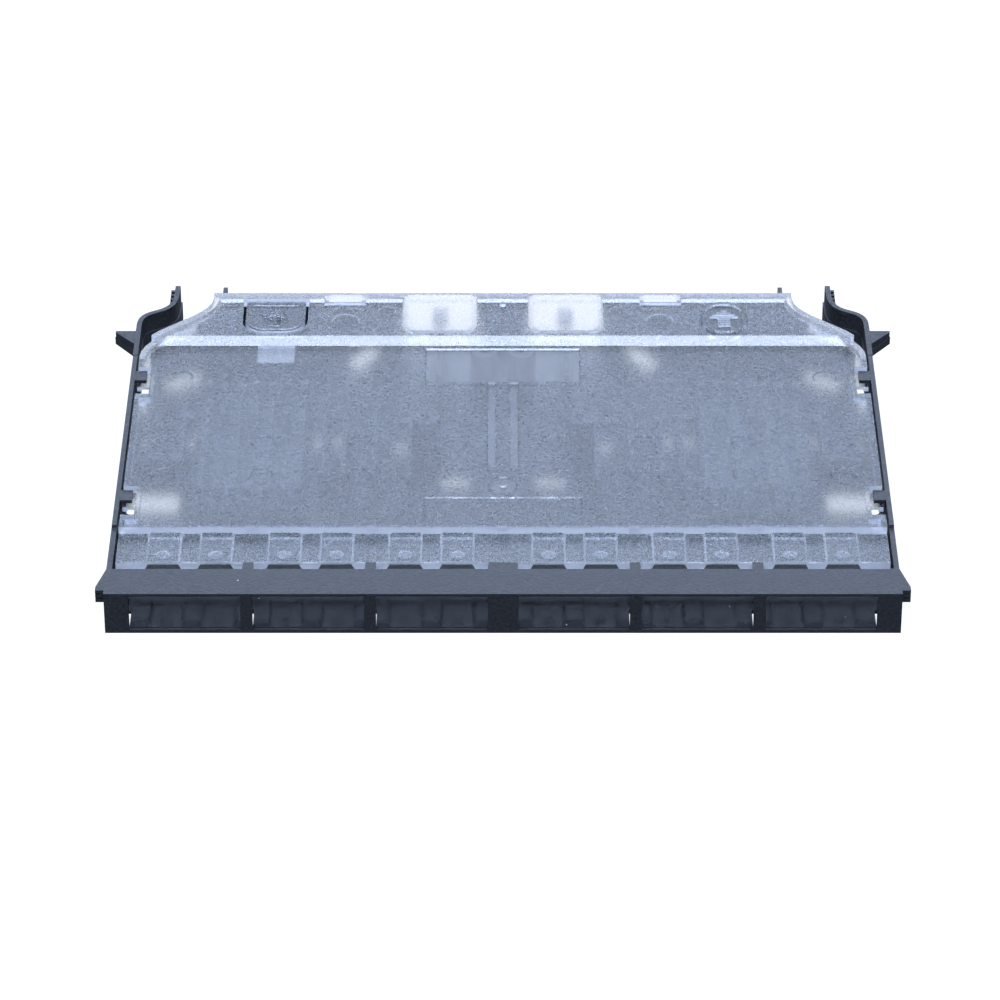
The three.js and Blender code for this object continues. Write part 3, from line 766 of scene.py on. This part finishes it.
def oval_hollow():
    """What is cut out of the filled edge, down to just above the plateau."""
    x0, x1, y0, y1 = OVAL
    inner = (x0 + 1.3, x1 - 1.3, y0 + 1.3, y1 - 1.3, 4.1)
    bm = bmesh.new()
    frustum(bm, rounded(*inner, -0.1), rounded(*inner, 0.5), PLATEAU_TOP + 0.06, PLATEAU_TOP + 1.2)
    return bm


OVAL_X = (OVAL[0] + OVAL[1]) / 2
for tool, operation in (
    (oval_edge(), "UNION"),
    (oval_hollow(), "DIFFERENCE"),
    (arrow_stem(OVAL_X, 117.2, ARROW_ROOT, PLATEAU_TOP + 0.22), "UNION"),
    (arrow_ribs(OVAL_X, 117.2, ARROW_ROOT, ARROW_TOP), "UNION"),
):
    cover_data = combine(cover_data, tool, operation)
print("cover with its badge:", len(cover_data.polygons), "faces")

# %% Arrow of the latch tab
TAB_LOW, TAB_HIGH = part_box("cover_latch_tab")
TAB_X = (TAB_LOW[0] + TAB_HIGH[0]) / 2 / MM
tab_data = copy_of("cover_latch_tab")
for tool in (
    arrow_stem(TAB_X, 117.8, ARROW_ROOT, PLATEAU_TOP + 0.2),
    arrow_ribs(TAB_X, 117.8, ARROW_ROOT, ARROW_TOP),
):
    tab_data = combine(tab_data, tool, "UNION")
print("latch tab with its arrow:", len(tab_data.polygons), "faces")

# %% [markdown]
# ## Finishes of the cover
# One sheet of plastic has seven finishes. Most differ because each part of the mould was polished or eroded
# in its
# own way, but three carry painted light: the edge and rib finishes are whiter, less clear copies that paint
# light on upright faces, rib sides and a pocket, and the satin finish on the rim adds painted light to a
# rougher skin.
# Painting them on by hand would have to be done again after each change of shape. Instead every face
# gets its finish by where it lies and which way it faces.

# %% Finish of each face
PAD = (35.1, 45.6, 128.3)  # inner side, outer side and front of the two polished pads at the rear
PANE_HALF_WIDTH = 19.5
BUMPS_END, STRIP_END, PLATEAU_START = 27, 26.5, 104
SUNK_POCKET = (-62.5, -52, 102.5, 111)
ARROW_AREA = (51, 62, 117, 127)
CLEAR_AREAS = (-66.2, -49.8, 114, 130), (50, 62.7, 114, 130)  # round the latch tab and round the badge
EDGE_TILT = 0.35  # a face whose normal rises less than this counts as an edge of the sheet
FLAT = 0.97  # and one whose normal rises more than this counts as flat


def near(value, level):
    """Whether a face lies at a level."""
    return abs(value - level) < 0.03


def inside(area, x, y):
    """Whether a place lies in an area, which is given as its two sides, its front and its rear."""
    return area[0] < x < area[1] and area[2] < y < area[3]


def cover_face(polygon):
    """The finish of a face of the cover or of its tab, by where it lies and which way it faces."""
    x, y, z = polygon.center.x / MM, (polygon.center.y - FRONT) / MM, polygon.center.z / MM
    across, _, up = polygon.normal
    if PAD[0] <= abs(x) <= PAD[1] and y > PAD[2] and abs(up) > EDGE_TILT:
        return "polished"
    # Upright faces take a whiter, less clear copy of the sheet: a painted glow for the light that its edges
    # let out.
    if abs(up) < EDGE_TILT:
        return "edge"
    if up < 0 or (abs(x) < PANE_HALF_WIDTH and near(z, PANEL_TOP - 0.4)):
        return "inside"
    # The bump sides, the sunk pocket and the arrows' front faces take a whiter copy: painted light on faces
    # that catch it.
    bump_side = y < BUMPS_END and abs(across) > 0.3
    pocket = inside(SUNK_POCKET, x, y) and near(z, PANEL_TOP - 0.6)
    arrow = inside(ARROW_AREA, x, y) and z > PLATEAU_TOP + 0.1 and polygon.normal.y < -0.2
    if bump_side or pocket or arrow:
        return "rib_painted_light"
    if any(inside(area, x, y) for area in CLEAR_AREAS):
        return "panel"
    # The rim and its slopes take the satin finish, whose whiter, less clear tint is partly painted light.
    rim = near(z, RIM_TOP) or near(z, PANEL_TOP + 0.75)
    if y > PLATEAU_START and (rim or up < FLAT):
        return "satin_painted_light"
    if y < STRIP_END or near(z, PLATEAU_TOP):
        return "sparkling"
    return "panel"


for data, node, name, body in (
    (cover_data, "cover", "cover_moulding", "cover"),
    (tab_data, "cover_latch_tab", "tab_moulding", "latch_tab"),
):
    moulding(data, node, name, COVER_FINISH, body, COVER_EDGE, cover_face)
